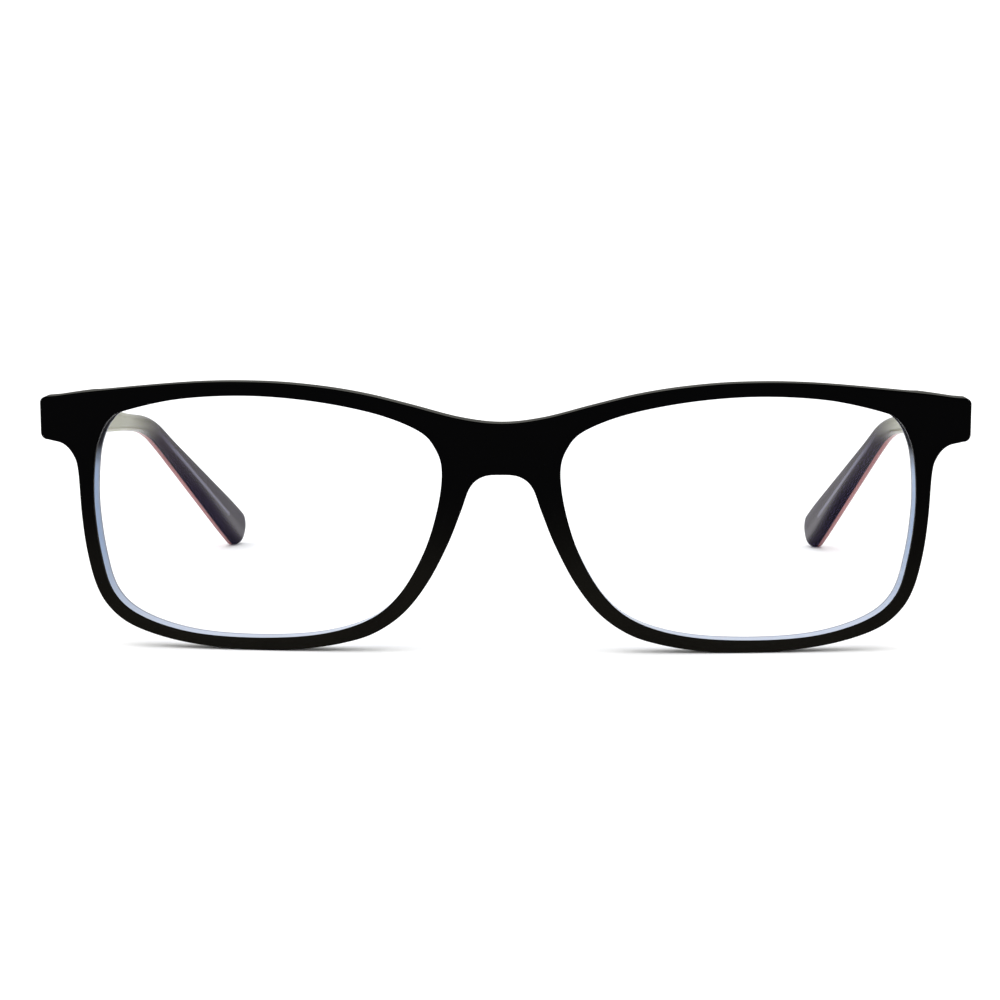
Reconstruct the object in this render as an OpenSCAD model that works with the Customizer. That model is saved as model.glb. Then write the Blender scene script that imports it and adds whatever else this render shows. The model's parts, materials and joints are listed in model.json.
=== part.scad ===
// Rectangular full-rim blue light glasses: a front of two bonded plastic sheets, two clear
// lenses, and two laminated temples that fold on five-barrel hinges.
// Millimetres, +Z up. The glasses stand on their lower rims and their temple tips and face
// -Y. +X is the wearer's left. The origin is the middle of the footprint, at table height.

/* [Front] */
// Overall width across the end pieces
front_w = 139.6; // [132:0.2:146]
// Height from the lowest point of the rims to the highest
front_h = 40.4; // [38:0.2:43]
// Radius of the front's curve, seen from above
front_r = 400; // [350:10:500]
// Thickness of the black face sheet
face_t = 0.6; // [0.5:0.1:1.2]
// Thickness of the pale blue back sheet
back_t = 3.6; // [3.3:0.1:3.9]
// Forward lean of the front as the glasses stand
front_lean = 2.5; // [1:0.5:4]

/* [Lenses] */
// Radius of each lens's front surface
lens_r = 200; // [180:5:240]
// Thickness of each lens
lens_t = 1.7; // [1.4:0.1:1.9]
// Depth of the rim's groove that holds the lens edge
groove_d = 0.6; // [0.4:0.1:0.8]

/* [Nose pads] */
// How far each pad stands out behind the rim
pad_out = 4.5; // [3:0.5:6]
// Radius of the pad's rounded back, seen from the side
pad_r = 10.5; // [9:0.5:12]

/* [Temples] */
// Length of each temple from its hinge pin to the end of its tip
temple_l = 130; // [125:1:138]
// Height of the temple at the hinge
root_h = 6.1; // [5.5:0.1:6.5]
// Height of the temple at the bend
bend_h = 3; // [2.4:0.1:4]
// Height of the temple's tip
tip_h = 7.3; // [7.1:0.1:7.6]
// Distance from the hinge pin to the bend
bend_at = 56; // [50:1:60]
// Radius of the bend over the ear
bend_r = 40; // [36:1:70]
// Angle that the tip drops below the straight part
tip_drop = 18.5; // [15:0.5:22]
// Angle that the tip turns inwards, seen from above
tip_in = 6.3; // [4:0.1:8]
// Thickness of the dark inner sheet
inner_t = 2; // [1.9:0.1:2.3]
// Thickness of the rose outer sheet
outer_t = 1.4; // [1:0.1:1.6]

/* [Hinges] */
// Outer radius of the hinge barrels
barrel_r = 1.3; // [1.2:0.05:1.4]
// Height of one hinge barrel
barrel_h = 1; // [0.9:0.05:1.1]
// Gap between neighbouring barrels
barrel_gap = 0.05; // [0.04:0.01:0.1]
// Radius of the hinge screw's shank
screw_r = 0.65; // [0.6:0.05:0.7]
// Radial clearance of the screw in the barrels that turn on it
screw_play = 0.05; // [0.03:0.01:0.08]

/* [Hidden] */

// The outlines below are drawn for this width and height, and scaled to the values above.
drawn_w = 139.6;
drawn_h = 40.4;
kx = front_w / drawn_w;
kz = front_h / drawn_h;
left = 1;
right = -1;
eps = 0.01;
// Cutting solids run past what they cut by over, or by past where that is wide of it.
over = 1;
past = 9;
front_from = -over;
front_to = 14;
layer_reach = 60;
round_fn = 96;
front_fn = 720;
lens_fn = 180;
curve_steps = 4;
corner_steps = 4;

// Front outline, wearer's left half: along the top from the bridge to the end piece, then
// back under the end piece, round the rim and up to the nose arch. The first and last
// points of each line only set the direction in which the curve starts and ends.
top_line = [
    [-6.2, 35.2], [0, 34.5], [6.2, 35.2], [13.6, 37.1], [20.3, 38.7], [27.4, 39.8],
    [35.7, 40.4], [46.3, 40.2], [60.9, 38.8], [68.2, 37.8], [75.5, 36.8]
];
rim_line = [
    [71, 32], [68.6, 31.3], [66.3, 30.7], [64.8, 29.1], [64.1, 26.7], [63.7, 20],
    [63, 14.4], [61.7, 9.3], [59.7, 5.9], [56.3, 3.3], [50.6, 1.4], [43.6, 0.3], [36.4, 0],
    [29.8, 0.3], [23.8, 1.3], [19, 2.9], [14.6, 6], [11, 10.6], [8, 16.3], [6, 21.3],
    [4.6, 25], [2.7, 26.6], [0, 26.9], [-2.7, 26.6]
];
// Corners of the end piece: centre, radius, first and last angle.
end_top = [[68.9, 36.9], 0.9, 80, 0];
end_low = [[68.7, 32.4], 1.1, 0, -75];
// Lens opening at the front surface, wearer's left, anticlockwise from its lowest point.
lens_line = [
    [37.4, 1.8], [47.2, 2.4], [54.9, 4.7], [59, 8.2], [60.8, 14], [61.7, 21.6],
    [61.4, 28.3], [60.5, 32], [58.8, 34.7], [56.2, 36], [48.1, 37.8], [38, 38.4],
    [28, 37.7], [18.6, 35.9], [12.2, 33.4], [9.7, 30.7], [8.8, 27.3], [9.5, 21.7],
    [11.6, 15.1], [15.3, 8.8], [20.1, 4.8], [27.6, 2.5]
];

// Depth of the front's curve behind the bridge at distance x from the middle.
function sag(x) = front_r - sqrt(front_r ^ 2 - x ^ 2);
// Catmull-Rom spline from b to c, t running from 0 to 1.
function spline(a, b, c, d, t) =
    (2 * b + (c - a) * t + (2 * a - 5 * b + 4 * c - d) * t ^ 2
    + (3 * b - 3 * c + d - a) * t ^ 3) / 2;
function open_curve(p) = [
    for (i = [1 : len(p) - 3], k = [0 : curve_steps - 1])
        spline(p[i - 1], p[i], p[i + 1], p[i + 2], k / curve_steps)
];
function closed_curve(p) = [
    for (i = [0 : len(p) - 1], k = [0 : curve_steps - 1])
        spline(
            p[(i + len(p) - 1) % len(p)], p[i], p[(i + 1) % len(p)], p[(i + 2) % len(p)],
            k / curve_steps
        )
];
function corner(c) = [
    for (i = [0 : corner_steps])
        let (a = c[2] + (c[3] - c[2]) * i / corner_steps)
            c[0] + c[1] * [cos(a), sin(a)]
];
function reversed(p) = [for (i = [len(p) - 1 : -1 : 0]) p[i]];
function scaled(p) = [for (q = p) [q[0] * kx, q[1] * kz]];
// Outline moved outwards by d, for an anticlockwise closed outline.
function grown(p, d) = [
    for (i = [0 : len(p) - 1])
        let (t = p[(i + 1) % len(p)] - p[(i + len(p) - 1) % len(p)])
            p[i] + d * [t[1], -t[0]] / norm(t)
];

half_front = scaled(concat(
    open_curve(top_line), corner(end_top), corner(end_low), open_curve(rim_line)
));
arch_top = scaled([rim_line[len(rim_line) - 2]]);
front_outline = concat(
    half_front, arch_top, [for (q = reversed(half_front)) if (q[0] > eps) [-q[0], q[1]]]
);

// Lens placing: each lens looks along its own axis, square to the front's curve.
lens_x = 35 * kx;
lens_z = 20.2 * kz;
lens_turn = asin(lens_x / front_r);
lens_set = 0.45;
lens_play = 0.03;
opening = [
    for (q = scaled(closed_curve(lens_line)))
        let (dx = q[0] - lens_x, dy = sag(q[0]) - sag(lens_x))
            [dx * cos(lens_turn) + dy * sin(lens_turn), q[1] - lens_z]
];

// Nose pads: height of their middle, and the band across the rim that they keep to.
pad_z = 18 * kz;
pad_from = 2;
pad_w = 12;

// Hinge pin: its place on the front, and from there as the glasses stand. The temple's
// medial face lies medial_x outside it, and its lateral face is flush with the front.
front_t = face_t + back_t;
medial_x = 1.6;
hinge_x = front_w / 2 - medial_x - inner_t - outer_t;
block_t = 0.8;
block_gap = 1.75;
hinge_z = 34.3 * kz;
// The end piece's flat back reaches flat_in inside the pin, and a slanted side joins it to
// the curve. The back sheet is cut to that flat from cut_in inside the pin outwards.
flat_in = 2.9;
slant_end = [-5, -5];
cut_in = 1;
hinge_y = sag(hinge_x) + front_t + block_t + block_gap;
low_x = 36.4 * kx;
stand_z = -sag(low_x) * sin(front_lean);
pin_y = hinge_y * cos(front_lean) - hinge_z * sin(front_lean);
pin_z = hinge_y * sin(front_lean) + hinge_z * cos(front_lean) + stand_z;

// Temple, drawn from the hinge pin: +Y runs back along the straight part and +Z up.
root_gap = 0.05;
root_y = -block_gap + root_gap;
bend_l = bend_r * tip_drop * PI / 180;
tip_l = temple_l - bend_at - bend_l;
temple_steps = 36;
in_at = 46;
in_r = 110;
in_end = in_at + in_r * sin(tip_in);
in_off = in_r * (1 - cos(tip_in));

// Centre line at distance s from the pin, as [y, z], and its drop angle there.
function drop(s) = tip_drop * min(max((s - bend_at) / bend_l, 0), 1);
function path(s) =
    s < bend_at ? [s, 0]
    : s < bend_at + bend_l
    ? [bend_at + bend_r * sin(drop(s)), -bend_r * (1 - cos(drop(s)))]
    : path(bend_at + bend_l - eps) + (s - bend_at - bend_l) * [cos(tip_drop), -sin(tip_drop)];
// Height along the temple: an even taper to the bend, then an even flare to the tip.
taper_end = bend_at - 6;
flare_at = bend_at + 16;
flare_end = temple_l - 9;
taper = (root_h - bend_h) / taper_end;
flare = (tip_h - bend_h) / (flare_end - flare_at);
blend = 6;
// Zero below 0 and u above it, rounded off over the blend length.
function ramp(u) = u < -blend ? 0 : u < blend ? (u + blend) ^ 2 / (4 * blend) : u;
function height(s) =
    root_h - taper * (max(s, 0) - ramp(s - taper_end))
    + flare * (ramp(s - flare_at) - ramp(s - flare_end));
// A point off the centre line by h, along its upward normal.
function off_path(s, h) = path(s) + h * [sin(drop(s)), cos(drop(s))];
// Inward offset of the temple's medial face at y.
function inward(y) =
    y < in_at ? 0
    : y < in_end ? in_r - sqrt(in_r ^ 2 - (y - in_at) ^ 2)
    : in_off + (y - in_end) * tan(tip_in);
function stations(a, b) = [for (i = [0 : temple_steps]) a + (b - a) * i / temple_steps];
// Quarter of the tip's round end.
function tip_arc(s, h, r, a0, a1) = [
    for (i = [0 : corner_steps * 2])
        let (a = a0 + (a1 - a0) * i / (corner_steps * 2))
            off_path(s + r * cos(a), h + r * sin(a))
];
tip_top_r = 3.4;
tip_low_r = 3.6;
temple_side = concat(
    [for (s = stations(root_y, temple_l - tip_top_r)) off_path(s, height(s) / 2)],
    tip_arc(temple_l - tip_top_r, tip_h / 2 - tip_top_r, tip_top_r, 80, 0),
    tip_arc(temple_l - tip_low_r, tip_low_r - tip_h / 2, tip_low_r, 0, -80),
    [for (s = stations(temple_l - tip_low_r, root_y)) off_path(s, -height(s) / 2)]
);
// The temples slope so that their tips rest at the same level as the rims.
tip_corner = off_path(temple_l - tip_low_r, tip_low_r - tip_h / 2);
temple_slope = atan2(tip_corner[1], tip_corner[0]) + asin((pin_z - tip_low_r) / norm(tip_corner));
tilt = front_lean + temple_slope;
core_h = 1.4;
core_t = 0.9;
core_from = 2;
core_to = temple_l - 14;
core_side = concat(
    [for (s = stations(core_from, core_to)) off_path(s, core_h / 2)],
    [for (s = stations(core_to, core_from)) off_path(s, -core_h / 2)]
);

// Hinge leaves, drawn from the hinge pin.
barrels = 5;
pitch = barrel_h + barrel_gap;
stack_h = barrels * barrel_h + (barrels - 1) * barrel_gap;
neck_w = 1.8;
plate_t = 1;
front_plate = [4.4, plate_t, stack_h + 0.4];
stud_r = 0.5;
stud_l = 1.1;
stud_z = 1.7;
leaf_x = medial_x - 0.2;
leaf_t = 0.8;
leaf_from = -1.1;
leaf_to = 9;
leaf_h = 3.6;
core_x = leaf_x + leaf_t;
head_r = 1.05;
head_h = 0.5;
slot_w = 0.3;
slot_d = 0.25;
screw_tip = 0.3;

// Middle of the footprint, between the bridge's top edge and the temple tips.
front_y = -top_line[1][1] * kz * sin(front_lean);
tip_round = off_path(temple_l - tip_top_r, tip_h / 2 - tip_top_r);
tips_y = pin_y + tip_round[0] * cos(temple_slope) + tip_round[1] * sin(temple_slope) + tip_top_r;
middle_y = (front_y + tips_y) / 2;

black = "#0b0b0d";
pale_blue = "#9fb3d6";
clear = [0.93, 0.95, 1, 0.25];
plum = "#2c2433";
rose = "#a8606a";
steel = "#b9bcc0";

module side(s) {
    mirror([s == left ? 0 : 1, 0, 0]) children();
}

// From the front's own frame to the standing glasses.
module stand() {
    translate([0, -middle_y, stand_z]) rotate([front_lean, 0, 0]) children();
}

// From the frame of the left hinge pin to the standing glasses.
module at_pin() {
    translate([hinge_x, pin_y - middle_y, pin_z]) rotate([-temple_slope, 0, 0]) children();
}

// The same frame, seen from the front's own frame.
module at_pin_on_front() {
    translate([hinge_x, hinge_y, hinge_z]) rotate([-tilt, 0, 0]) children();
}

// A flat outline in X and Z, extruded along Y from y0 to y1.
module along_y(y0, y1) {
    translate([0, y1, 0]) rotate([90, 0, 0]) linear_extrude(y1 - y0) children();
}

module lens_frame() {
    translate([lens_x, sag(lens_x), lens_z]) rotate([0, 0, lens_turn]) children();
}

// Solid inside the front's curve at depth d below its face.
module behind_face(d) {
    translate([0, front_r, -2 * over])
        cylinder(r = front_r - d, h = front_h + 4 * over, $fn = front_fn);
}

// Meniscus with the groove's depth on its rim, grown by play all round.
module lens_solid(play) {
    intersection() {
        along_y(-past, past) polygon(grown(opening, groove_d - lens_play + play));
        translate([0, lens_set + lens_r, 0]) difference() {
            sphere(r = lens_r + play, $fn = lens_fn);
            sphere(r = lens_r - lens_t - play, $fn = lens_fn);
        }
    }
}

// Everything inside the front's outline, with the lens openings cut, y0 to y1.
module front_prism(y0, y1) {
    difference() {
        along_y(y0, y1) polygon(front_outline);
        for (s = [left, right])
            side(s) lens_frame() along_y(-past, front_to + past) polygon(opening);
    }
}

module lens_seats() {
    for (s = [left, right])
        side(s) lens_frame() lens_solid(lens_play);
}

module front_face_sheet() {
    color(black) stand() difference() {
        intersection() {
            front_prism(front_from, front_to);
            behind_face(0);
        }
        behind_face(face_t);
        lens_seats();
    }
}

// Thicker corner behind each end piece, with a flat back for the hinge.
module end_block() {
    at_pin_on_front() translate([0, 0, -past]) linear_extrude(2 * past) polygon([
        slant_end, [-flat_in, -block_gap], [past, -block_gap], [past, -past],
        [slant_end[0], -past]
    ]);
}

module front_back_sheet() {
    color(pale_blue) stand() difference() {
        intersection() {
            front_prism(front_from, front_to);
            behind_face(face_t);
            union() {
                difference() {
                    translate([-front_w, front_from, -over])
                        cube([2 * front_w, front_to + past, front_h + 2 * over]);
                    behind_face(front_t);
                }
                for (s = [left, right])
                    side(s) end_block();
            }
        }
        lens_seats();
        for (s = [left, right])
            side(s) at_pin_on_front() {
                front_leaf_anchor();
                translate([-cut_in, -block_gap, -past]) cube([past + cut_in, past, 2 * past]);
            }
    }
}

module lens(s) {
    color(clear) stand() side(s) lens_frame() lens_solid(0);
}

// Rounded rib cemented behind the nasal rim.
module nose_pad(s) {
    color(pale_blue) stand() side(s) intersection() {
        front_prism(front_from, front_to);
        behind_face(front_t);
        translate([pad_from, front_t + pad_out - pad_r, pad_z]) rotate([0, 90, 0])
            cylinder(r = pad_r, h = pad_w, $fn = round_fn);
    }
}

// One knuckle of the hinge, level 0 at the bottom.
module barrel(level) {
    translate([0, 0, level * pitch - stack_h / 2])
        cylinder(r = barrel_r, h = barrel_h, $fn = round_fn);
}

// Plate and studs that sit in the end piece's flat back.
module front_leaf_anchor() {
    translate([-front_plate[0] / 2, -block_gap - plate_t, -front_plate[2] / 2])
        cube(front_plate);
    for (z = [-stud_z, stud_z])
        translate([0, -block_gap - plate_t + eps, z]) rotate([90, 0, 0])
            cylinder(r = stud_r, h = stud_l, $fn = round_fn);
}

module front_hinge_leaf(s) {
    color(steel) side(s) at_pin() difference() {
        union() {
            front_leaf_anchor();
            for (level = [0, 2, 4]) {
                barrel(level);
                translate([-neck_w / 2, -block_gap - plate_t / 2, level * pitch - stack_h / 2])
                    cube([neck_w, block_gap + plate_t / 2, barrel_h]);
            }
        }
        translate([0, 0, barrel_h - stack_h / 2 - eps])
            cylinder(r = screw_r + screw_play, h = stack_h, $fn = round_fn);
        translate([0, 0, -stack_h]) cylinder(r = screw_r, h = stack_h, $fn = round_fn);
    }
}

// Plate let into the temple's medial face.
module temple_leaf_plate() {
    translate([leaf_x, leaf_from, -leaf_h / 2]) cube([leaf_t, leaf_to - leaf_from, leaf_h]);
}

module temple_hinge_leaf(s) {
    color(steel) side(s) at_pin() difference() {
        union() {
            temple_leaf_plate();
            for (level = [1, 3]) {
                barrel(level);
                translate([0, 0, level * pitch - stack_h / 2])
                    cube([leaf_x + leaf_t / 2, barrel_r, barrel_h]);
            }
        }
        translate([0, 0, -stack_h])
            cylinder(r = screw_r + screw_play, h = 2 * stack_h, $fn = round_fn);
    }
}

module hinge_screw(s) {
    color(steel) side(s) at_pin() difference() {
        union() {
            translate([0, 0, -stack_h / 2 - screw_tip])
                cylinder(r = screw_r, h = stack_h + screw_tip + eps, $fn = round_fn);
            translate([0, 0, stack_h / 2]) cylinder(r = head_r, h = head_h, $fn = round_fn);
        }
        translate([-slot_w / 2, -head_r - eps, stack_h / 2 + head_h - slot_d])
            cube([slot_w, 2 * (head_r + eps), slot_d + eps]);
    }
}

// Layer of the temple between distances x0 and x1 from its medial face, cut to a side
// outline.
module temple_layer(x0, x1, outline, from, to) {
    ys = stations(from, to);
    intersection() {
        rotate([0, 0, 90]) rotate([90, 0, 0]) translate([0, 0, -layer_reach])
            linear_extrude(2 * layer_reach) polygon(outline);
        translate([medial_x, 0, -layer_reach]) linear_extrude(2 * layer_reach) polygon(concat(
            [for (y = ys) [x0 - inward(y), y]],
            [for (y = reversed(ys)) [x1 - inward(y), y]]
        ));
    }
}

module temple_core_solid() {
    core_in = core_x - medial_x;
    temple_layer(core_in, core_in + core_t, core_side, 0, temple_l);
}

module temple_inner(s) {
    color(plum) side(s) at_pin() difference() {
        temple_layer(0, inner_t, temple_side, -past, temple_l + past);
        temple_leaf_plate();
        temple_core_solid();
    }
}

module temple_outer(s) {
    color(rose) side(s) at_pin()
        temple_layer(inner_t, inner_t + outer_t, temple_side, -past, temple_l + past);
}

module temple_core(s) {
    color(steel) side(s) at_pin() temple_core_solid();
}

front_face_sheet();
front_back_sheet();
lens(left);  // lens_left
lens(right);  // lens_right
nose_pad(left);  // nose_pad_left
nose_pad(right);  // nose_pad_right
front_hinge_leaf(left);  // front_hinge_leaf_left
front_hinge_leaf(right);  // front_hinge_leaf_right
temple_hinge_leaf(left);  // temple_hinge_leaf_left
temple_hinge_leaf(right);  // temple_hinge_leaf_right
hinge_screw(left);  // hinge_screw_left
hinge_screw(right);  // hinge_screw_right
temple_inner(left);  // temple_inner_left
temple_inner(right);  // temple_inner_right
temple_outer(left);  // temple_outer_left
temple_outer(right);  // temple_outer_right
temple_core(left);  // temple_core_left
temple_core(right);  // temple_core_right
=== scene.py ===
import json
import math

import bmesh
import bpy
import numpy as np
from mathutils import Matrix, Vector
from mathutils.geometry import delaunay_2d_cdt


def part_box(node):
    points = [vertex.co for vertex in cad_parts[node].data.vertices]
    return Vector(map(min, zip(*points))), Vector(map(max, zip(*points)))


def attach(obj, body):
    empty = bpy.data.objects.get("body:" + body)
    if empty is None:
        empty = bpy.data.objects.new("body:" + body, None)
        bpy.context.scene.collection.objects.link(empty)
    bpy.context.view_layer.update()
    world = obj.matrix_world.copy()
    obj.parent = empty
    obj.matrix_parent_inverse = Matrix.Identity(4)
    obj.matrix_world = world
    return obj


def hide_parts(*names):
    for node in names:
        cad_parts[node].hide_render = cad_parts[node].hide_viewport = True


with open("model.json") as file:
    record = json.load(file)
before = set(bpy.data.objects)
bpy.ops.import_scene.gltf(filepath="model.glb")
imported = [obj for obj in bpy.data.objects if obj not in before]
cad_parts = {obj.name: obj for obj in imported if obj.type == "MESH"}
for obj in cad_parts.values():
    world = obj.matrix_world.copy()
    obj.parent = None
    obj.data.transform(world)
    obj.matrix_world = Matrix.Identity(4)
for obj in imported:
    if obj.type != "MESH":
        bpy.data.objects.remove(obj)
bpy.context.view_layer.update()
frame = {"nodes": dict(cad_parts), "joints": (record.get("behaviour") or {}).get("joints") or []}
nodes = frame["nodes"]
joint = {j["name"]: j for j in frame["joints"]}

# ---------------------------------------------------------------- sizes (mm)
# They are the CAD's, apart from the fillets, the edge roundings and the mesh fineness.
MM = 0.001
SIDES = {"left": 1, "right": -1}

# Front: a curved plate of two sheets that leans back.
FRONT_R, LEAN = 400.0, math.radians(2.5)
FACE_T, WALL_MIDDLE, FRONT_T = 0.6, 2.2, 4.2  # depths below the face
REST_X = 36.4  # where the rims stand on the table
TOP_CORNER = (68.9, 36.9, 0.9)  # x, z and radius of the end piece's rounded corners
LOW_CORNER = (68.7, 32.4, 1.1)

# Lenses: their middle, curve, thickness, depth below the face and reach into the groove.
LENS_X, LENS_Z = 35.0, 20.2
LENS_R, LENS_T, LENS_SET, LENS_REACH = 200.0, 1.7, 0.45, 0.55
LENS_TURN = math.asin(LENS_X / FRONT_R)

# End blocks: distance of their end face from the pin, where their slope starts and how
# steep it is, the widths of their fillets, and where the end face takes over.
BLOCK_GAP, BLOCK_SLOPE_AT, BLOCK_SLOPE = 1.75, 2.9, 1.55
BLOCK_CREST, BLOCK_FOOT, BLOCK_CUT, BLOCK_CUT_AT = 0.25, 0.15, 0.02, 1.0

# Nose pads: middle height, arch radius, how far they stand out, half length, distance from
# the lens opening, depth of the foot in the rim, and the arch's least height.
PAD_Z, PAD_R, PAD_OUT, PAD_HALF = 18.0, 10.5, 4.5, 8.55
PAD_CLEAR, PAD_SUNK, PAD_LEAST = 0.35, 0.3, 0.02
PAD_SIDE_POWER, PAD_TOP_POWER = 0.8, 0.7  # fuller than a half ellipse
NASAL_RIM, NASAL_HOLE = (20, 26.5), (22, 34)  # x and z where the outlines leave the nose

# Temples: they run back from the pin, bend down at BEND_AT and lean inwards from IN_AT.
MEDIAL_X, INNER_T, OUTER_T = 1.6, 2.0, 1.4
TEMPLE_L, ROOT_H, BEND_H, TIP_H = 130.0, 6.1, 3.0, 7.3
ROOT_AT, ROOT_CORNER = -1.7, 0.3
BEND_AT, BEND_R, TIP_DROP = 56.0, 40.0, math.radians(18.5)
IN_AT, IN_R, TIP_IN = 46.0, 110.0, math.radians(6.3)
BEND_L = BEND_R * TIP_DROP
TAPER_END, FLARE_AT, FLARE_END, BLEND = BEND_AT - 6, BEND_AT + 16, TEMPLE_L - 9, 6.0
TIP_TOP_R, TIP_LOW_R = 3.4, 3.6
WIRE_TO, WIRE_EDGE = TEMPLE_L - 14.0, 0.6

# Edge roundings of the face sheet, the back sheet and the temples, which the CAD leaves sharp.
EDGE, HOLE_EDGE, BACK_EDGE, HOLE_BACK_EDGE = 0.32, 0.12, 0.6, 0.9
MEDIAL_EDGE, LATERAL_EDGE, MEDIAL_STRETCH = 1.25, 0.95, [1, 1.4]
# On a temple they grow from a share of themselves at the root's end face, over this length,
# and again by a share under the tip. Then they are evened out a number of times.
ROOT_LEAST, ROOT_FADE = 0.2, 1.5
TIP_EXTRA, TIP_FADE = 0.5, 60
SMOOTHINGS = 12

# Mesh fineness: grid steps of flat faces, and the number of points or rows of the rest.
FACE_STEP, BACK_STEP, TEMPLE_STEP, GRID_CLEAR = 1.5, 0.9, 1.2, 0.45
PAD_ROWS, PAD_FAN, LENS_RINGS, TEMPLE_POINTS = 45, 25, 12, 130
TIP_SWEEP, TIP_STEPS, ROOT_STEPS = 84, 12, 4
SAME_POINT, ON_MIDDLE, HARD_ANGLE = 1e-7, 0.01, math.radians(35)

# Outlines in the front's own frame, (x, z), on the wearer's left. The top line runs outwards
# from the bridge, the rim line back to the nose arch, and the lens line anticlockwise.
TOP_LINE = [(-6.2, 35.2), (0, 34.5), (6.2, 35.2), (13.6, 37.1), (20.3, 38.7), (27.4, 39.8),
            (35.7, 40.4), (46.3, 40.2), (60.9, 38.8), (68.2, 37.8), (75.5, 36.8)]
RIM_LINE = [(71, 32), (68.6, 31.3), (66.3, 30.7), (64.8, 29.1), (64.1, 26.7), (63.7, 20),
            (63, 14.4), (61.7, 9.3), (59.7, 5.9), (56.3, 3.3), (50.6, 1.4), (43.6, 0.3),
            (36.4, 0), (29.8, 0.3), (23.8, 1.3), (19, 2.9), (14.6, 6), (11, 10.6),
            (8, 16.3), (6, 21.3), (4.6, 25), (2.7, 26.6), (0, 26.9), (-2.7, 26.6)]
LENS_LINE = [(37.4, 1.8), (47.2, 2.4), (54.9, 4.7), (59, 8.2), (60.8, 14), (61.7, 21.6),
             (61.4, 28.3), (60.5, 32), (58.8, 34.7), (56.2, 36), (48.1, 37.8), (38, 38.4),
             (28, 37.7), (18.6, 35.9), (12.2, 33.4), (9.7, 30.7), (8.8, 27.3), (9.5, 21.7),
             (11.6, 15.1), (15.3, 8.8), (20.1, 4.8), (27.6, 2.5)]

# ------------------------------------------------------------------- frames
face_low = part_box("front_face_sheet")[0]
MIDDLE_Y = -face_low.y / MM - TOP_LINE[1][1] * math.sin(LEAN)
STAND_Z = -(FRONT_R - math.sqrt(FRONT_R ** 2 - REST_X ** 2)) * math.sin(LEAN)
FRONT_AT = np.array([0, -MIDDLE_Y, STAND_Z])
pin = np.array(joint["left_temple_fold"]["pos_m"]) / MM
axis = joint["left_temple_fold"]["axis"]
SLOPE = math.atan2(axis[1], axis[2])
TILT = LEAN + SLOPE


def turn_x(p, angle):
    """Points turned about the X axis."""
    c, s = math.cos(angle), math.sin(angle)
    return np.stack([p[:, 0], c * p[:, 1] - s * p[:, 2], s * p[:, 1] + c * p[:, 2]], 1)


def from_front(p):
    """From the front's own frame to the row frame, in mm."""
    return turn_x(p, LEAN) + FRONT_AT


def from_pin(p):
    """From the left hinge pin's frame to the row frame, in mm."""
    return turn_x(p, -SLOPE) + pin


pin_on_front = turn_x((pin - FRONT_AT)[None], -LEAN)[0]


def sag(x, depth=0.0):
    """Y of the front's curve at x, at this depth below its face."""
    return FRONT_R - np.sqrt((FRONT_R - depth) ** 2 - x ** 2)


def smooth_max(a, b, k):
    """The larger of a and b, rounded off over k."""
    return 0.5 * (a + b + np.sqrt((a - b) ** 2 + k * k))


# ------------------------------------------------------------------- curves
def spline(points, closed, steps=8):
    """Catmull-Rom curve. An open one leaves out its first and last control points."""
    p = np.array(points, float)
    n = len(p)
    t = np.arange(steps)[:, None] / steps
    out = []
    for i in range(0 if closed else 1, n if closed else n - 2):
        a, b, c, d = p[(i - 1) % n], p[i], p[(i + 1) % n], p[(i + 2) % n]
        out.append((2 * b + (c - a) * t + (2 * a - 5 * b + 4 * c - d) * t ** 2
                    + (3 * b - 3 * c + d - a) * t ** 3) / 2)
    return np.concatenate(out)


def arc(cx, cz, r, a0, a1, steps=8):
    """Points on a circle, from angle a0 to a1 in degrees."""
    a = np.radians(np.linspace(a0, a1, steps + 1))
    return np.stack([cx + r * np.cos(a), cz + r * np.sin(a)], 1)


def normals(p):
    """Outward unit normals of an anticlockwise closed outline."""
    t = np.roll(p, -1, 0) - np.roll(p, 1, 0)
    return np.stack([t[:, 1], -t[:, 0]], 1) / np.linalg.norm(t, axis=1)[:, None]


def front_outline():
    """The front's outer outline, anticlockwise, from its left half and that half's mirror."""
    half = np.concatenate([spline(TOP_LINE, False), arc(*TOP_CORNER, 80, 0),
                           arc(*LOW_CORNER, 0, -75), spline(RIM_LINE, False)])
    right = (half[half[:, 0] > ON_MIDDLE] * [-1, 1])[::-1]
    return np.concatenate([half, [RIM_LINE[-2]], right])[::-1]


# ----------------------------------------------------------------- building
def rounding(r, depth, steps=6, inwards=True):
    """(inset, depth) pairs of a quarter round edge between a cap and its wall."""
    a = np.linspace(0, math.pi / 2, steps + 1)
    pairs = np.stack([r * (1 - np.sin(a)), r * (1 - np.cos(a))], 1)
    if inwards:
        return pairs + [0, depth]
    return (pairs * [1, -1] + [0, depth])[::-1]


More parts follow.
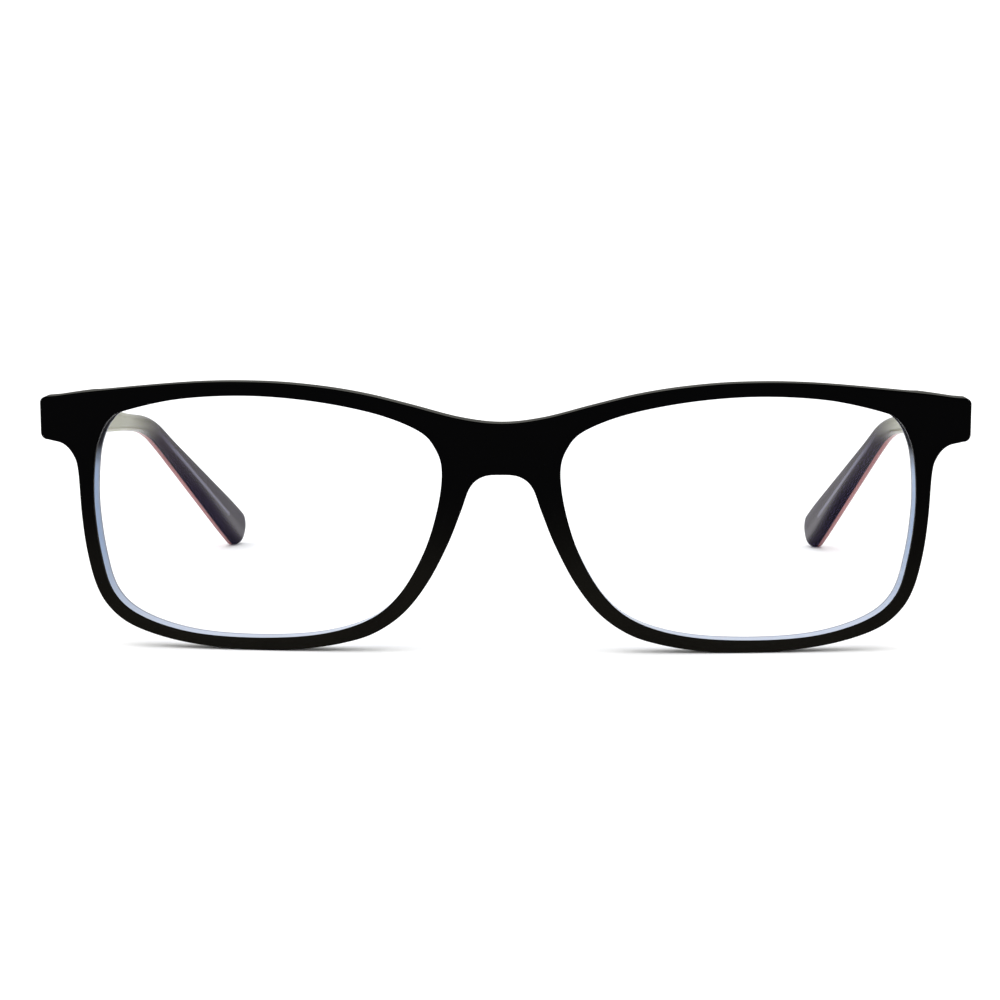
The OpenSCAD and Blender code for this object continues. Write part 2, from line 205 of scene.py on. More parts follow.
class Builder:
    """Collects points in mm with their own coordinates (u, v) and depth, and faces."""

    def __init__(self):
        self.points, self.marks, self.depths, self.faces, self.skins = [], [], [], [], []
        self.count = 0

    def add(self, points, marks, depth=0.0):
        first = self.count
        self.points.append(points)
        self.marks.append(marks)
        self.depths.append(np.full((len(points), 2), depth))
        self.count += len(points)
        return np.arange(first, self.count)

    def strip(self, a, b, closed=True, skin=0):
        """Faces between two rows of points."""
        n = len(a)
        for i in range(n if closed else n - 1):
            j = (i + 1) % n
            self.face((a[i], a[j], b[j], b[i]), skin)

    def face(self, corners, skin=0):
        self.faces.append(tuple(corners))
        self.skins.append(skin)

    def mesh(self, name, mirror, materials, body, stands_for, slot):
        """Makes the object. mirror is -1 for a piece on the wearer's right, else 1."""
        p = np.concatenate(self.points) * MM * [mirror, 1, 1]
        faces = [f if mirror > 0 else f[::-1] for f in self.faces]
        me = bpy.data.meshes.new(name)
        me.from_pydata([tuple(q) for q in p], [], [tuple(int(i) for i in f) for f in faces])
        loops = np.zeros(len(me.loops), np.int32)
        me.loops.foreach_get("vertex_index", loops)
        for layer, rows in (("own", self.marks), ("depth", self.depths)):
            uv = me.uv_layers.new(name=layer)
            values = np.concatenate(rows)[loops].astype(np.float32)
            uv.data.foreach_set("uv", values.ravel())
        me.polygons.foreach_set("use_smooth", [True] * len(me.polygons))
        me.polygons.foreach_set("material_index", self.skins)
        for material in materials:
            me.materials.append(material)
        me.validate()
        ob = bpy.data.objects.new(name, me)
        bpy.context.scene.collection.objects.link(ob)
        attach(ob, body)
        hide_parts(*stands_for)
        weld(ob)


def inside(p, loop):
    """Which points lie inside a closed outline."""
    x, y = p[:, 0][:, None], p[:, 1][:, None]
    a, b = loop, np.roll(loop, -1, 0)
    crosses = (a[:, 1] > y) != (b[:, 1] > y)
    with np.errstate(divide="ignore", invalid="ignore"):
        at = (b[:, 0] - a[:, 0]) * (y - a[:, 1]) / (b[:, 1] - a[:, 1]) + a[:, 0]
    return (np.sum(crosses & (x < at), 1) % 2) == 1


def cap(build, loops, place, depth, step, flip):
    """Fills the area inside the first outline and outside the others."""
    rims = [loop(depth) for loop in loops]
    low, high = rims[0].min(0), rims[0].max(0)
    gx, gz = np.meshgrid(np.arange(low[0], high[0], step), np.arange(low[1], high[1], step))
    grid = np.stack([gx.ravel(), gz.ravel()], 1)
    keep = inside(grid, rims[0])
    for rim in rims[1:]:
        keep &= ~inside(grid, rim)
    grid = grid[keep]
    every = np.concatenate(rims)
    near = np.array([np.min(np.sum((every - g) ** 2, 1)) for g in grid])
    grid = grid[near > (GRID_CLEAR * step) ** 2]
    coords = [Vector((float(x), float(y))) for x, y in np.concatenate([every, grid])]
    edges, first = [], 0
    for rim in rims:
        n = len(rim)
        edges += [(first + i, first + (i + 1) % n) for i in range(n)]
        first += n
    out, _, faces, _, _, _ = delaunay_2d_cdt(coords, edges, [], 1, SAME_POINT)
    flat = np.array([tuple(v) for v in out])
    ids = build.add(place(flat[:, 0], flat[:, 1], depth), flat, depth)
    middles = np.array([np.mean(flat[list(f)], 0) for f in faces])
    solid = inside(middles, rims[0])
    for rim in rims[1:]:
        solid &= ~inside(middles, rim)
    for f in [f for f, kept in zip(faces, solid) if kept]:
        tri = [ids[i] for i in f]
        a, b, c = flat[f[0]], flat[f[1]], flat[f[2]]
        turn = (b[0] - a[0]) * (c[1] - a[1]) - (b[1] - a[1]) * (c[0] - a[0])
        build.face(tri[::-1] if (turn > 0) == flip else tri)


def plate(name, rims, place, depths, step, mirror, materials, body, stands_for, slot):
    """A plate between two depths. rims is [(outline(inset, depth), [(inset, depth)...])], the
    outer one first. The materials are those of the faces, the outer wall and the holes' walls,
    and a shorter list's last one goes on the rest. place takes x, z, depth to the row frame."""
    build = Builder()
    for number, (outline, layers) in enumerate(rims):
        rows = []
        skin = min(number + 1, len(materials) - 1, 2)
        for inset, depth in layers:
            flat = outline(inset, depth)
            rows.append(build.add(place(flat[:, 0], flat[:, 1], depth), flat, depth))
        for a, b in zip(rows, rows[1:]):
            if number == 0:
                a, b = b, a
            build.strip(a, b, skin=skin)
    for end, depth in ((0, depths[0]), (-1, depths[1])):
        loops = [lambda d, o=outline, i=layers[end][0]: o(i, d) for outline, layers in rims]
        cap(build, loops, place, depth, step, flip=(end == -1))
    build.mesh(name, mirror, materials, body, stands_for, slot)


def weld(ob):
    """Joins the coincident points of caps and walls, and keeps hard edges hard."""
    bm = bmesh.new()
    bm.from_mesh(ob.data)
    bmesh.ops.remove_doubles(bm, verts=bm.verts, dist=SAME_POINT)
    bmesh.ops.recalc_face_normals(bm, faces=bm.faces)
    for e in bm.edges:
        if len(e.link_faces) == 2 and e.calc_face_angle(0) > HARD_ANGLE:
            e.smooth = False
    bm.to_mesh(ob.data)
    bm.free()


# ---------------------------------------------------------------- materials
# Colours are linear RGB. A pair is mixed by noise.
ACETATE_IOR = 1.49
# The second black is a painted reflection of the floor on the lower rims.
BLACK, BLACK_FLOOR_REFLECTION = (0.0002, 0.0002, 0.0003), (0.005, 0.0045, 0.0034)
BACK_BLUE = (0.22, 0.33, 0.45), (0.27, 0.38, 0.51)
WALL_BLUE = (0.155, 0.235, 0.37), (0.185, 0.27, 0.42)
WALL_DEEP, WALL_LOW = (0.16, 0.205, 0.26), (0.4, 0.45, 0.54)
# The first is a thin line of painted shade along the wall's rear rounding, the second a painted
# shadow near the hinges.
WALL_REAR_SHADE, WALL_SHADOW = (0.1, 0.1, 0.12), (0.016, 0.016, 0.018)
BLUE_GLOW, BLUE_GLOW_SCALE = (0.6, 0.75, 1.0), 0.0006
# The back sheet's outer edge: an olive-grey painted highlight of its top rounding.
EDGE_HIGHLIGHT = (0.05, 0.05, 0.045), (0.08, 0.079, 0.072)
PLUM = (0.0105, 0.009, 0.0125), (0.0145, 0.012, 0.0175)
# The second plum is painted light on the upper half past the bend, the olive a painted sheen on
# the straight part, and the last a painted glint on the core wire's lower edge.
PLUM_LIT, STRAIGHT_SHEEN, WIRE_GLINT = (0.02, 0.0145, 0.0155), (0.21, 0.21, 0.135), (0.26, 0.26, 0.36)
ROSE = (0.21, 0.075, 0.072), (0.27, 0.105, 0.098)
ROSE_GLOW, ROSE_GLOW_SCALE = (1.0, 0.45, 0.4), 0.0008
LENS_CLEAR = (0.985, 0.99, 0.995, 1)
COATING = (0.35, 0.4, 1.0), (0.55, 0.4, 1.0)
NICKEL, STEEL, METAL_DARK = (0.45, 0.44, 0.42), (0.5, 0.505, 0.52), 0.94
PAPER = (0.96, 0.96, 0.96), (0.98, 0.98, 0.98)
FACING_UP = (0.3, 0.8)  # the upward normals over which the gloss of a dark edge fades
MIX_A, MIX_B, MIX_RESULT = 6, 7, 2  # the colour sockets of a Mix node


class Nodes:
    """Short calls for building a material's node tree."""

    def __init__(self, name):
        self.material = bpy.data.materials.new(name)
        self.material.use_nodes = True
        self.tree = self.material.node_tree
        self.bsdf = self.tree.nodes["Principled BSDF"]
        self.out = self.tree.nodes["Material Output"]

    def node(self, kind, **values):
        n = self.tree.nodes.new(kind)
        for k, v in values.items():
            setattr(n, k, v)
        return n

    def link(self, a, b):
        self.tree.links.new(a, b)

    def put(self, socket, value):
        """Links a value that is a socket, and sets any other."""
        if isinstance(value, bpy.types.NodeSocket):
            self.link(value, socket)
        else:
            socket.default_value = value

    def set(self, **values):
        """Inputs of the Principled node, with _ for the spaces in their names."""
        for k, v in values.items():
            self.put(self.bsdf.inputs[k.replace("_", " ")], v)

    def coordinates(self, kind):
        return self.node("ShaderNodeTexCoord").outputs[kind]

    def split(self, vector):
        parts = self.node("ShaderNodeSeparateXYZ")
        self.link(vector, parts.inputs[0])
        return parts.outputs

    def place(self, axis):
        """X, Y or Z of the point in the row frame, in metres."""
        return self.split(self.coordinates("Object"))[axis]

    def own(self, layer="own"):
        """The piece's own two coordinates, in mm."""
        parts = self.split(self.node("ShaderNodeUVMap", uv_map=layer).outputs["UV"])
        return parts[0], parts[1]

    def up(self):
        """How far the surface faces up, from -1 to 1."""
        return self.split(self.coordinates("Normal"))[2]

    def facing_in(self):
        """1 on a temple's medial face, 0 on its other faces."""
        sideways = self.split(self.coordinates("Normal"))[0]
        towards = self.math("MULTIPLY", sideways, self.math("SIGN", self.place(0)))
        return self.fade(towards, -0.9, -0.6)

    def noise(self, scale, detail, stretch=None):
        n = self.node("ShaderNodeTexNoise")
        n.inputs["Scale"].default_value = scale
        n.inputs["Detail"].default_value = detail
        at = self.coordinates("Object")
        if stretch:
            m = self.node("ShaderNodeMapping")
            m.inputs["Scale"].default_value = stretch
            self.link(at, m.inputs["Vector"])
            at = m.outputs["Vector"]
        self.link(at, n.inputs["Vector"])
        return n.outputs["Fac"]

    def patches(self, scale, detail, low, high, stretch=None):
        """Noise that runs from 0 at low to 1 at high."""
        return self.ramp(self.noise(scale, detail, stretch), (low, 0), (high, 1))

    def ramp(self, value, start, end):
        """Straight line through two (value, result) points, level beyond them."""
        n = self.node("ShaderNodeMapRange")
        (a, b), (c, d) = start, end
        for k, v in (("From Min", a), ("From Max", c), ("To Min", b), ("To Max", d)):
            n.inputs[k].default_value = v
        self.link(value, n.inputs["Value"])
        return n.outputs["Result"]

    def smooth(self, value, low, high):
        """0 below low, 1 above high."""
        n = self.node("ShaderNodeMapRange", interpolation_type="SMOOTHSTEP")
        n.inputs["From Min"].default_value = low
        n.inputs["From Max"].default_value = high
        self.link(value, n.inputs["Value"])
        return n.outputs["Result"]

    def fade(self, value, low, high):
        """1 below low, 0 above high."""
        return self.math("SUBTRACT", 1.0, self.smooth(value, low, high))

    def math(self, operation, a, b=0.0):
        n = self.node("ShaderNodeMath", operation=operation)
        self.put(n.inputs[0], a)
        self.put(n.inputs[1], b)
        return n.outputs[0]

    def times(self, first, *others):
        for other in others:
            first = self.math("MULTIPLY", first, other)
        return first

    def mix(self, factor, a, b):
        """From colour a at 0 to colour b at 1."""
        n = self.node("ShaderNodeMix", data_type="RGBA")
        self.put(n.inputs["Factor"], factor)
        for number, colour in ((MIX_A, a), (MIX_B, b)):
            is_socket = isinstance(colour, bpy.types.NodeSocket)
            self.put(n.inputs[number], colour if is_socket else (*colour, 1.0))
        return n.outputs[MIX_RESULT]

    def bump(self, height, strength, distance=0.0001):
        n = self.node("ShaderNodeBump")
        n.inputs["Strength"].default_value = strength
        n.inputs["Distance"].default_value = distance
        self.link(height, n.inputs["Height"])
        self.set(Normal=n.outputs["Normal"])


def polish(m, low, high):
    """Tumble-polished plastic: faint smears in the gloss, between these two roughnesses, and
    very shallow waviness."""
    m.set(IOR=ACETATE_IOR, Roughness=m.ramp(m.noise(90, 4), (0.35, low), (0.65, high)))
    m.bump(m.noise(260, 2), 0.06)


def black_acetate():
    """Near black, a little greyer and warmer towards the lower rims, where a reflection of the
    floor is painted.
    """
    m = Nodes("black_acetate")
    # Painted reflection: the lower rims turn greyer and warmer, as if they mirrored the white
    # floor.
    low = m.fade(m.place(2), 0.002, 0.026)
    floor_reflection = m.times(m.ramp(m.noise(60, 3), (0.3, 0.6), (0.7, 1.3)), low)
    m.set(Base_Color=m.mix(floor_reflection, BLACK, BLACK_FLOOR_REFLECTION),
          Specular_IOR_Level=m.ramp(m.smooth(m.up(), *FACING_UP), (0, 0.016), (1, 0.0)))
    polish(m, 0.1, 0.17)
    return m.material


def wall_look(m, cloud):
    """Colour and gloss of a lens opening's wall: greyer towards its rear, with a thin dark line
    of painted shade along its rear rounding, painted lighter low down, where light falls
    through it, and painted dark near the hinges, where no light comes through."""
    depth = m.own("depth")[0]
    height, side = m.place(2), m.math("ABSOLUTE", m.place(0))
    colour = m.mix(m.smooth(depth, 1.5, 3.6), m.mix(cloud, *WALL_BLUE), WALL_DEEP)
    colour = m.mix(m.fade(height, 0.003, 0.02), colour, WALL_LOW)
    # Painted shade: a thin dark line along the wall's rear rounding.
    line = m.times(m.smooth(depth, 2.7, 3.2), m.fade(depth, 3.35, 3.7), 0.75)
    colour = m.mix(line, colour, WALL_REAR_SHADE)
    shadow = m.times(m.smooth(side, 0.05, 0.054), m.smooth(height, 0.0258, 0.031),
                     m.fade(depth, 2.6, 3.9))
    return m.mix(shadow, colour, WALL_SHADOW), m.ramp(shadow, (0, 0.06), (1, 0.0))


def blue_acetate(name, is_wall=False):
    """Milky pale blue."""
    m = Nodes(name)
    cloud = m.patches(80, 3, 0.3, 0.7)
    colour, gloss = wall_look(m, cloud) if is_wall else (m.mix(cloud, *BACK_BLUE), 0.25)
    m.set(Base_Color=colour, Specular_IOR_Level=gloss, Subsurface_Weight=0.25,
          Subsurface_Radius=BLUE_GLOW, Subsurface_Scale=BLUE_GLOW_SCALE)
    polish(m, 0.12, 0.2)
    return m.material


def highlight_edge():
    """Outer edge of the back sheet: the same plastic, painted a dark olive-grey that stands in
    for the soft highlight on its top rounding.
    """
    m = Nodes("painted_edge_highlight")
    # Painted highlight: the outer edge is coloured olive-grey instead of the sheet's blue.
    m.set(Base_Color=m.mix(m.patches(80, 3, 0.3, 0.7), *EDGE_HIGHLIGHT),
          Specular_IOR_Level=m.ramp(m.smooth(m.up(), *FACING_UP), (0, 0.08), (1, 0.0)))
    polish(m, 0.14, 0.22)
    return m.material


def plum_acetate():
    """Dark violet, with a painted olive sheen and more gloss along the straight part. Past the
    bend the upper half is painted lighter, as if lit, and a painted glint on the lower edge of
    the core wire shows as a faint pale line."""
    m = Nodes("plum_acetate")
    along, height = m.own()
    # Painted glint: a faint pale line on the medial face, along the lower edge of the core wire
    # past the bend.
    from_edge = m.math("ABSOLUTE", m.math("ADD", height, WIRE_EDGE))
    span = m.times(m.smooth(along, BEND_AT + 4, BEND_AT + 26),
                   m.fade(along, WIRE_TO - 0.8, WIRE_TO + 0.2))
    wire_glint = m.times(m.fade(from_edge, 0.1, 0.5), span, m.facing_in(), 0.36)
    # Painted sheen: the straight part is coloured olive, as it looks at a glancing angle.
    straight = m.fade(along, BEND_AT - 16, BEND_AT + 14)
    # Painted light: past the bend the upper half is made lighter, as if lit.
    tip_rise = m.ramp(m.smooth(along, 95, 125), (0, 0.0), (1, 1.2))
    lit = m.smooth(m.math("ADD", height, tip_rise), -2.5, -0.4)
    colour = m.mix(m.patches(70, 3, 0.35, 0.65, (1, 0.3, 1)), *PLUM)
    colour = m.mix(straight, m.mix(lit, colour, PLUM_LIT), STRAIGHT_SHEEN)
    gloss = m.math("SUBTRACT", m.ramp(lit, (0, 0.0), (1, 0.036)),
                   m.ramp(m.smooth(height, -1.0, 0.4), (0, 0.0), (1, 0.02)))
    m.set(Base_Color=m.mix(wire_glint, colour, WIRE_GLINT),
          Specular_IOR_Level=m.math("ADD", gloss, m.times(straight, 0.07)))
    polish(m, 0.22, 0.27)
    return m.material


def rose_acetate():
    """Milky rose, with faint streaks along the temple."""
    m = Nodes("rose_acetate")
    m.set(Base_Color=m.mix(m.patches(120, 4, 0.35, 0.65, (1, 0.15, 1)), *ROSE),
          Specular_IOR_Level=0.06, Subsurface_Weight=0.3, Subsurface_Radius=ROSE_GLOW,
          Subsurface_Scale=ROSE_GLOW_SCALE)
    polish(m, 0.14, 0.22)
    return m.material


def lens_glass():
    """Clear plastic with a blue-violet coating: mostly see-through, with a faint gloss that
    grows at glancing angles."""
    m = Nodes("coated_lens")
    m.tree.nodes.remove(m.bsdf)
    clear = m.node("ShaderNodeBsdfTransparent")
    clear.inputs["Color"].default_value = LENS_CLEAR
    gloss = m.node("ShaderNodeBsdfGlossy")
    gloss.inputs["Roughness"].default_value = 0.02
    m.link(m.mix(m.patches(25, 2, 0.3, 0.7), *COATING), gloss.inputs["Color"])
    facing = m.node("ShaderNodeLayerWeight").outputs["Facing"]
    sheen = m.times(m.math("POWER", facing, 4.0), 0.3)
    blend = m.node("ShaderNodeMixShader")
    m.link(m.math("ADD", sheen, 0.006), blend.inputs[0])
    m.link(clear.outputs[0], blend.inputs[1])
    m.link(gloss.outputs[0], blend.inputs[2])
    m.link(blend.outputs[0], m.out.inputs["Surface"])
    return m.material


def metal(name, colour, low, high, stretch):
    """Brushed metal, between these two roughnesses."""
    m = Nodes(name)
    grain = m.noise(500, 2, stretch)
    m.set(Base_Color=m.mix(grain, tuple(METAL_DARK * c for c in colour), colour),
          Metallic=1.0, Roughness=m.ramp(grain, (0.3, low), (0.7, high)))
    m.bump(grain, 0.03)
    return m.material


black = black_acetate()
blue = blue_acetate("pale_blue_acetate")
wall = blue_acetate("pale_blue_wall", is_wall=True)
edge_highlight = highlight_edge()
plum = plum_acetate()
rose = rose_acetate()
glass = lens_glass()
nickel = metal("nickel_silver", NICKEL, 0.22, 0.38, (1, 1, 6))
bright = metal("screw_steel", STEEL, 0.15, 0.28, (1, 1, 1))

# ------------------------------------------------------------------- front
OUTLINE = front_outline()
OUTLINE_N = normals(OUTLINE)
OPENING = spline(LENS_LINE, True)
OPENING_N = normals(OPENING)


def outer_rim(inset, depth):
    """The front's outer edge, the same at every depth."""
    return OUTLINE - inset * OUTLINE_N


def lens_rim(side):
    """Edge of a lens opening: it runs back along the lens's own axis."""
    def rim(inset, depth):
        p = OPENING + inset * OPENING_N
        x, y = p[:, 0], sag(p[:, 0])
        c, s = math.cos(LENS_TURN), math.sin(LENS_TURN)
        b = -x * s - (FRONT_R - y) * c
        run = -b - np.sqrt(b * b - x * x - (FRONT_R - y) ** 2 + (FRONT_R - depth) ** 2)
        q = np.stack([side * (x - run * s), p[:, 1]], 1)
        return q if side > 0 else q[::-1]
    return rim


def block_height(x, z):
    """How far the end blocks stand out behind the curved back."""
    x = np.abs(x)
    pin_x = pin_on_front[0]
    w = (z - pin_on_front[2] - BLOCK_GAP * math.sin(TILT)) / math.cos(TILT)
    flat = pin_on_front[1] - BLOCK_GAP * math.cos(TILT) + w * math.sin(TILT)
    slant = flat - (pin_x - BLOCK_SLOPE_AT - x) * BLOCK_SLOPE
    back = sag(x, FRONT_T)
    block = smooth_max(back, -smooth_max(-flat, -slant, BLOCK_CREST), BLOCK_FOOT)
    cut = -smooth_max(-block, -flat, BLOCK_CUT)
    return np.where(x > pin_x - BLOCK_CUT_AT, cut, block) - back


def on_front(x, z, depth):
    """A point of the front in the row frame. The end blocks grow with the depth."""
    share = np.clip((depth - FACE_T) / (FRONT_T - FACE_T), 0, 1)
    y = sag(x, depth)
    if share > 0:
        y = y + share * block_height(x, z)
    return from_front(np.stack([x, y, z], 1))


face_rims = [(outer_rim, [*rounding(EDGE, 0), (0, FACE_T)])]
back_rims = [(outer_rim, [(0, FACE_T), *rounding(BACK_EDGE, FRONT_T, inwards=False)])]
for side in SIDES.values():
    face_rims.append((lens_rim(side), [*rounding(HOLE_EDGE, 0), (0, FACE_T)]))
    back_rims.append((lens_rim(side), [(0, FACE_T), (0, WALL_MIDDLE),
                                       *rounding(HOLE_BACK_EDGE, FRONT_T, inwards=False)]))
plate("face_sheet", face_rims, on_front, (0, FACE_T), FACE_STEP, 1, [black],
      "front", ["front_face_sheet"], "face_sheet")
plate("back_sheet", back_rims, on_front, (FACE_T, FRONT_T), BACK_STEP, 1, [blue, edge_highlight, wall],
      "front", ["front_back_sheet"], "back_sheet")


def nose_pad(name, side):
    """A smooth rib along the nasal rim, highest at its middle."""
    zs = np.linspace(PAD_Z - PAD_HALF, PAD_Z + PAD_HALF, PAD_ROWS)
    rim = spline(RIM_LINE, False)
    rim = rim[(rim[:, 0] < NASAL_RIM[0]) & (rim[:, 1] < NASAL_RIM[1])]
    hole = OPENING[(OPENING[:, 0] < NASAL_HOLE[0]) & (OPENING[:, 1] < NASAL_HOLE[1])]
    hole = hole[np.argsort(hole[:, 1])]
    outer_x = np.interp(zs, rim[:, 1], rim[:, 0])
    inner_x = np.interp(zs, hole[:, 1], hole[:, 0]) - PAD_CLEAR
    top = FRONT_T + PAD_OUT - PAD_R + np.sqrt(PAD_R ** 2 - (zs - PAD_Z) ** 2)
    fan = np.linspace(0, math.pi, PAD_FAN)
    cos, sin = np.cos(fan), np.sin(fan)
    build = Builder()
    rows = []
    for z, a, b, y in zip(zs, outer_x, inner_x, top):
        middle, half = (a + b) / 2, (b - a) / 2
        x = middle - half * np.sign(cos) * np.abs(cos) ** PAD_SIDE_POWER
        base = sag(x, FRONT_T) - PAD_SUNK
        rise = max(y - base[PAD_FAN // 2], PAD_LEAST)
        y_fan = base + rise * np.abs(sin) ** PAD_TOP_POWER
        p = np.stack([x, y_fan, np.full(PAD_FAN, z)], 1)
        rows.append(build.add(from_front(p), p[:, [0, 2]]))
    for a, b in zip(rows, rows[1:]):
        build.strip(a, b, closed=False)
    build.face(rows[0])
    build.face(rows[-1][::-1])
    build.mesh(name, side, [blue], "front", [name], "back_sheet")


def lens(name, side):
    """Meniscus: two concentric surfaces and a narrow edge."""
    x, y = OPENING[:, 0] - LENS_X, sag(OPENING[:, 0]) - sag(LENS_X)
    c, s = math.cos(LENS_TURN), math.sin(LENS_TURN)
    edge = np.stack([x * c + y * s, OPENING[:, 1] - LENS_Z], 1)
    edge = edge + LENS_REACH * normals(edge)
    build = Builder()

    def surface(flat, radius):
        """Adds the points of one surface above these points of the lens's own plane."""
        y = LENS_SET + LENS_R - np.sqrt(radius ** 2 - np.sum(flat ** 2, 1))
        p = np.stack([flat[:, 0] * c - y * s + LENS_X, flat[:, 0] * s + y * c + sag(LENS_X),
                      flat[:, 1] + LENS_Z], 1)
        return build.add(from_front(p), flat)

    rims = []
    for radius in (LENS_R, LENS_R - LENS_T):
        rows = [surface(edge * k / LENS_RINGS, radius) for k in range(1, LENS_RINGS + 1)]
        middle = surface(np.zeros((1, 2)), radius)[0]
        for a, b in zip(rows, rows[1:]):
            build.strip(a, b)
        first = rows[0]
        for i in range(len(first)):
            build.face((middle, first[i], first[(i + 1) % len(first)]))
        rims.append(rows[-1])
    build.strip(rims[0], rims[1])
    build.mesh(name, side, [glass], "front", [name], "lens")


# ----------------------------------------------------------------- temples
def ramp(u):
    """0 below 0 and u above, rounded off over BLEND on both sides."""
    return np.where(u < -BLEND, 0, np.where(u < BLEND, (u + BLEND) ** 2 / (4 * BLEND), u))


def temple_height(s):
    """The temple's height at distance s: it tapers to the bend and flares to the tip."""
    taper = (ROOT_H - BEND_H) / TAPER_END
    flare = (TIP_H - BEND_H) / (FLARE_END - FLARE_AT)
    return (ROOT_H - taper * (np.maximum(s, 0) - ramp(s - TAPER_END))
            + flare * (ramp(s - FLARE_AT) - ramp(s - FLARE_END)))


def off_path(s, h):
    """(y, z) of the point at distance s along the temple and h above its centre line."""
    drop = TIP_DROP * np.clip((s - BEND_AT) / BEND_L, 0, 1)
    past = np.maximum(s - BEND_AT - BEND_L, 0)
    y = np.minimum(s, BEND_AT) + BEND_R * np.sin(drop) + past * math.cos(TIP_DROP)
    z = -BEND_R * (1 - np.cos(drop)) - past * math.sin(TIP_DROP)
    return y + h * np.sin(drop), z + h * np.cos(drop)


def inward(y):
    """How far the temple has leant inwards at y."""
    end = IN_AT + IN_R * math.sin(TIP_IN)
    turned = IN_R - np.sqrt(np.maximum(IN_R ** 2 - np.maximum(y - IN_AT, 0) ** 2, 1))
    straight = IN_R * (1 - math.cos(TIP_IN)) + (y - end) * math.tan(TIP_IN)
    return np.where(y < IN_AT, 0, np.where(y < end, turned, straight))


def temple_outline():
    """Side outline in (distance, height), anticlockwise, with a small corner at the root."""
    start, half, r = ROOT_AT + ROOT_CORNER, ROOT_H / 2, ROOT_CORNER
    low = np.linspace(start, TEMPLE_L - TIP_LOW_R, TEMPLE_POINTS)
    top = np.linspace(TEMPLE_L - TIP_TOP_R, start, TEMPLE_POINTS)
    return np.concatenate([
        np.stack([low, -temple_height(low) / 2], 1),
        arc(TEMPLE_L - TIP_LOW_R, TIP_LOW_R - TIP_H / 2, TIP_LOW_R,
            -TIP_SWEEP, 0, TIP_STEPS),
        arc(TEMPLE_L - TIP_TOP_R, TIP_H / 2 - TIP_TOP_R, TIP_TOP_R,
            0, TIP_SWEEP, TIP_STEPS),
        np.stack([top, temple_height(top) / 2], 1),
        arc(start, half - r, r, 105, 180, ROOT_STEPS),
        arc(start, r - half, r, 180, 255, ROOT_STEPS),
    ])


TEMPLE = temple_outline()
TEMPLE_N = normals(TEMPLE)


def softness():
    """Share of the edge rounding used along the outline: little at the root's end face,
    which meets the end block, and more than 1 under the tip."""
    from_root = (TEMPLE[:, 0] - ROOT_AT) / ROOT_FADE
    to_tip = np.clip((TEMPLE[:, 0] - BEND_AT) / TIP_FADE, 0, 1)
    share = np.clip(from_root, ROOT_LEAST, 1) * (1 + TIP_EXTRA * to_tip * (TEMPLE[:, 1] < 0))
    for _ in range(SMOOTHINGS):
        share = (np.roll(share, 1) + 2 * share + np.roll(share, -1)) / 4
    return np.minimum(share, np.clip(from_root, ROOT_LEAST, 2))[:, None]


SOFT = softness()


def temple_rim(inset, depth):
    """A temple's edge, the same at every depth."""
    return TEMPLE - inset * SOFT * TEMPLE_N


def on_temple(s, h, depth):
    """A point of the left temple in the row frame. depth is measured from its medial face."""
    y, z = off_path(s, h)
    return from_pin(np.stack([MEDIAL_X + depth - inward(y), y, z], 1))


medial = rounding(MEDIAL_EDGE, 0, 9) * MEDIAL_STRETCH
inner_rims = [(temple_rim, [*medial, (0, INNER_T)])]
outer_rims = [(temple_rim, [(0, INNER_T),
                            *rounding(LATERAL_EDGE, INNER_T + OUTER_T, inwards=False)])]
for name, side in SIDES.items():
    body = f"{name}_temple"
    plate(f"inner_sheet_{name}", inner_rims, on_temple, (0, INNER_T), TEMPLE_STEP, side,
          [plum], body, [f"temple_inner_{name}", f"temple_core_{name}"], "temple_inner")
    plate(f"outer_sheet_{name}", outer_rims, on_temple, (INNER_T, INNER_T + OUTER_T),
          TEMPLE_STEP, side, [rose], body, [f"temple_outer_{name}"], "temple_outer")
    nose_pad(f"nose_pad_{name}", side)
    lens(f"lens_{name}", side)
    for part, material in (("front_hinge_leaf", nickel), ("temple_hinge_leaf", nickel),
                           ("hinge_screw", bright)):
        for slot in nodes[f"{part}_{name}"].material_slots:
            slot.material = material


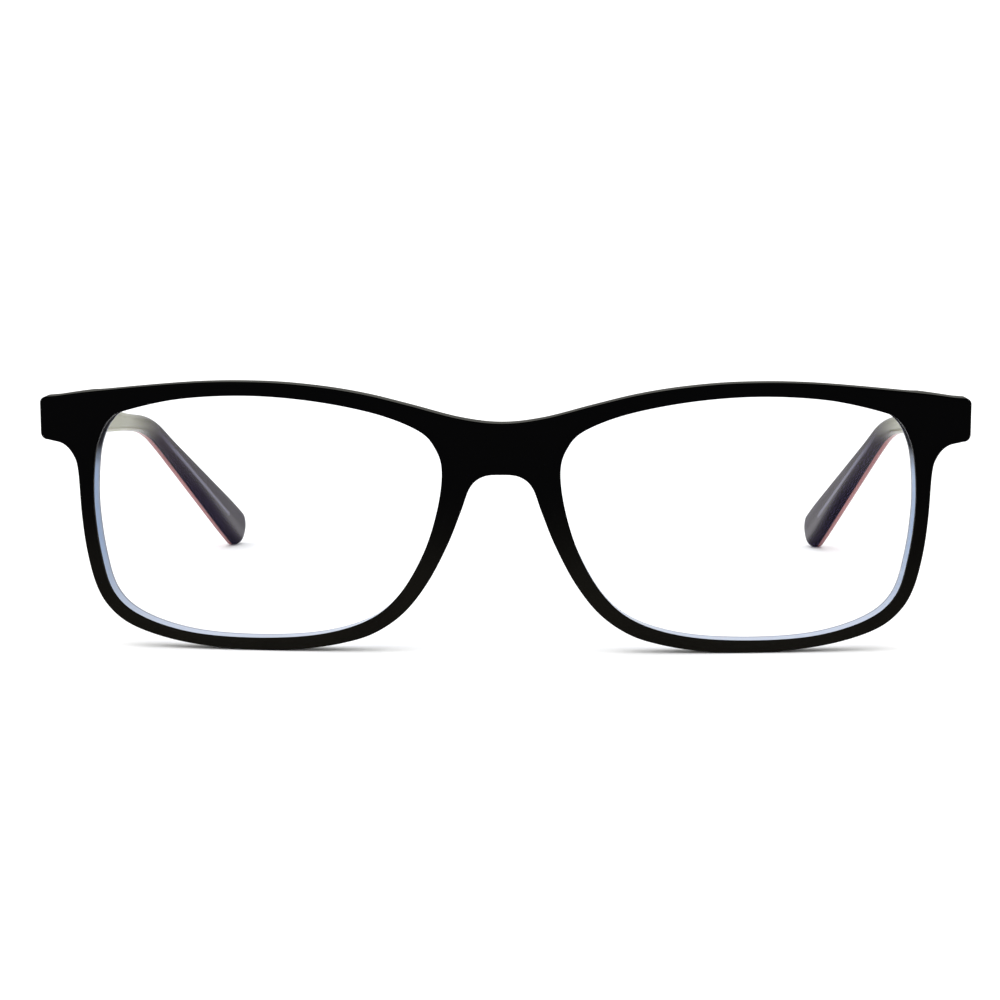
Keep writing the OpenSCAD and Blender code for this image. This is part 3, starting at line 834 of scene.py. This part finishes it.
# ------------------------------------------------------- floor, light, camera
FLOOR_SIZE, FLOOR_Z = 12, -0.00005  # m, just below the table height
WORLD_POWER, SUN_POWER = 1.1, 1.5
SUN_WIDTH = math.radians(90)
SUN_TURN = (math.radians(25), math.radians(-20), 0)
# The camera, fitted to the photo, is a little above and to the wearer's left of the middle.
CAMERA_AWAY, CAMERA_UP, CAMERA_LENS, CAMERA_SENSOR = 330.0, 57.1, 80.56, 36
CAMERA_AROUND, CAMERA_PAN, CAMERA_DOWN = (math.radians(a) for a in (2.0, 0.033, 5.893))
CLIP_NEAR, CLIP_FAR = 0.01, 50


def studio():
    """White paper floor, white surroundings and one very soft light."""
    bpy.ops.mesh.primitive_plane_add(size=FLOOR_SIZE, location=(0, 0, FLOOR_Z))
    floor = bpy.context.object
    floor.name = "floor"
    m = Nodes("floor_paper")
    m.set(Base_Color=m.mix(m.noise(30, 3), *PAPER), Roughness=0.9, Specular_IOR_Level=0.1)
    floor.data.materials.append(m.material)
    world = bpy.data.worlds.new("studio")
    bpy.context.scene.world = world
    world.use_nodes = True
    background = world.node_tree.nodes["Background"]
    background.inputs["Color"].default_value = (1, 1, 1, 1)
    background.inputs["Strength"].default_value = WORLD_POWER
    data = bpy.data.lights.new("key", "SUN")
    data.energy, data.angle = SUN_POWER, SUN_WIDTH
    lamp = bpy.data.objects.new("key", data)
    lamp.rotation_euler = SUN_TURN
    bpy.context.scene.collection.objects.link(lamp)


def camera():
    """Sees the glasses as the photo shows them."""
    data = bpy.data.cameras.new("camera")
    data.lens, data.sensor_width = CAMERA_LENS, CAMERA_SENSOR
    data.clip_start, data.clip_end = CLIP_NEAR, CLIP_FAR
    cam = bpy.data.objects.new("camera", data)
    cam.location = Vector((CAMERA_AWAY * math.sin(CAMERA_AROUND),
                           -CAMERA_AWAY * math.cos(CAMERA_AROUND) - MIDDLE_Y, CAMERA_UP)) * MM
    cam.rotation_euler = (math.pi / 2 - CAMERA_DOWN, 0, CAMERA_AROUND + CAMERA_PAN)
    bpy.context.scene.collection.objects.link(cam)
    bpy.context.scene.camera = cam


studio()
camera()
bpy.context.scene.view_settings.view_transform = "Standard"

bpy.context.view_layer.update()
